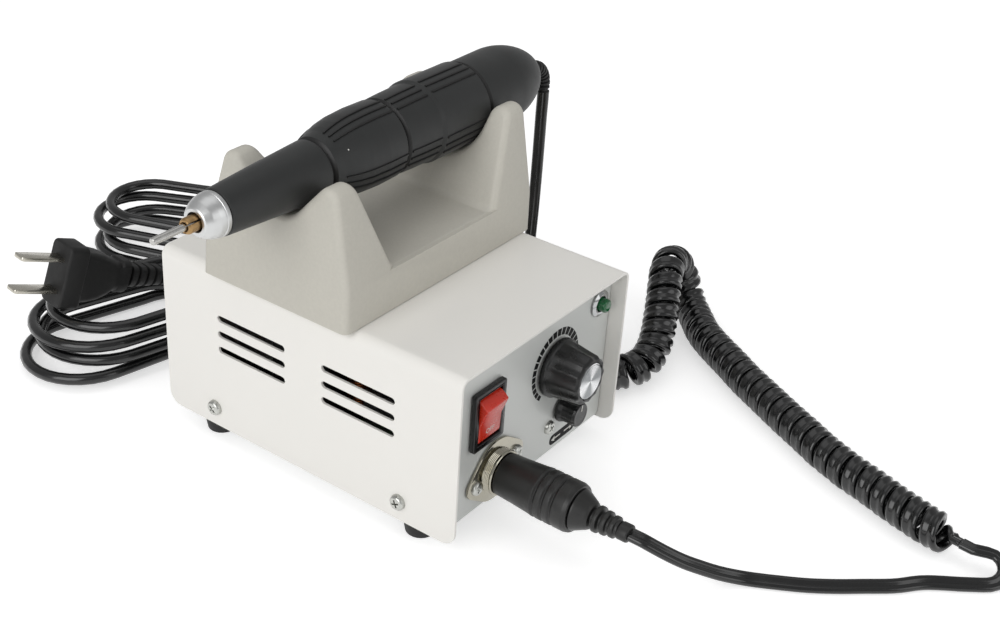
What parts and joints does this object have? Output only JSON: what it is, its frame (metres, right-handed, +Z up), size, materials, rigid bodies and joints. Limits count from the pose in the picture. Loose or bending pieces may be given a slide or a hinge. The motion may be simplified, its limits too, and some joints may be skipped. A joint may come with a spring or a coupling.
{
  "type": "dental laboratory micromotor",
  "caption": "Sheet-metal control box with rocker switch, speed dial and pilot lamp, a moulded cradle on top holding a motor handpiece, a curly handpiece lead and a coiled mains lead.",
  "frame": {"origin": "centre of the case in plan, on the underside of its sheet-metal base, 6 mm above the surface that the feet stand on", "axes": "+Z up, -Y out of the front panel, +X to the right seen from the front; the handpiece lies along X with its bur shank towards -X"},
  "size_m": [0.2503, 0.4009, 0.1273],
  "materials": {
    "cover_paint": "satin warm white enamel",
    "panel_paint": "satin light silver grey enamel",
    "cradle_plastic": "moulded, matt, warm grey",
    "handpiece_black": "matt charcoal",
    "black_plastic": "moulded, satin",
    "black_rubber": "matt",
    "cord_black": "extruded, glossy",
    "switch_red": "translucent, glossy red",
    "lens_green": "translucent green",
    "bright_steel": "plated, bright",
    "aluminium": "turned",
    "brass": "turned",
    "copper": "lacquered winding wire",
    "core_steel": "laminated, varnished",
    "board_green": "solder resist",
    "capacitor_sleeve": "shrunk film"
  },
  "bodies": {
    "base": {"cover": "cover_paint", "chassis": "panel_paint", "foot_1": "black_rubber", "foot_2": "black_rubber", "foot_3": "black_rubber", "foot_4": "black_rubber", "cover_screw_1": "bright_steel", "cover_screw_2": "bright_steel", "cover_screw_3": "bright_steel", "cover_screw_4": "bright_steel", "rocker_frame": "black_plastic", "potentiometer": "aluminium", "direction_switch": "black_plastic", "lamp_bezel": "bright_steel", "lamp_lens": "lens_green", "socket_shell": "bright_steel", "socket_insert": "black_plastic", "socket_screw_1": "bright_steel", "socket_screw_2": "bright_steel", "panel_screw": "bright_steel", "plug_shell": "bright_steel", "plug_body": "black_plastic", "plug_boot": "black_rubber", "mains_gland": "black_rubber", "fuse_holder": "black_plastic", "circuit_board": "board_green", "capacitor": "capacitor_sleeve", "heat_sink": "aluminium", "transformer_core": "core_steel", "transformer_winding": "copper", "cradle": "cradle_plastic", "curly_cord": "cord_black", "plug_lead": "cord_black", "mains_cord_inlet": "cord_black", "mains_hank_far": "cord_black", "mains_cord_link": "cord_black", "mains_hank_near": "cord_black", "mains_cord_outlet": "cord_black", "mains_plug": "black_rubber", "mains_blade_1": "brass", "mains_blade_2": "brass"},
    "rocker": {"rocker": "switch_red"},
    "speed_knob": {"speed_knob": "black_plastic", "speed_knob_cap": "aluminium"},
    "direction_knob": {"direction_knob": "black_plastic"},
    "handpiece": {"nose_cone": "aluminium", "nose_sleeve": "handpiece_black", "front_bearing": "bright_steel", "motor_housing": "handpiece_black", "magnet_ring": "core_steel", "brush_holder": "black_plastic", "rear_bearing": "bright_steel", "rear_cap": "handpiece_black", "handpiece_relief": "black_rubber", "handpiece_lead": "cord_black"},
    "chuck_sleeve": {"chuck_sleeve": "handpiece_black"},
    "spindle": {"spindle": "bright_steel", "rotor": "core_steel", "collet": "brass", "bur_shank": "bright_steel"}
  },
  "joints": [
    {"name": "rocker_tilt", "type": "hinge", "parent": "base", "child": "rocker", "pos_m": [-0.02625, -0.0575, 0.0388], "axis": [-1, 0, 0], "range_deg": [0, 24]},
    {"name": "speed_turn", "type": "hinge", "parent": "base", "child": "speed_knob", "pos_m": [0.0136, -0.059, 0.038], "axis": [0, 1, 0], "range_deg": [-150, 150]},
    {"name": "direction_turn", "type": "hinge", "parent": "base", "child": "direction_knob", "pos_m": [0.02, -0.059, 0.018], "axis": [0, 1, 0], "range_deg": [-30, 30]},
    {"name": "handpiece_lift", "type": "slide", "parent": "base", "child": "handpiece", "axis": [0, 0, 1], "range_m": [0, 0.045], "deforming": ["handpiece_lead"]},
    {"name": "chuck_turn", "type": "hinge", "parent": "handpiece", "child": "chuck_sleeve", "pos_m": [-0.018, 0.0075, 0.1066], "axis": [1, 0, 0], "range_deg": [0, 80]},
    {"name": "spindle_spin", "type": "hinge", "parent": "handpiece", "child": "spindle", "pos_m": [0.0205, 0.0075, 0.1066], "axis": [1, 0, 0], "continuous": true}
  ]
}
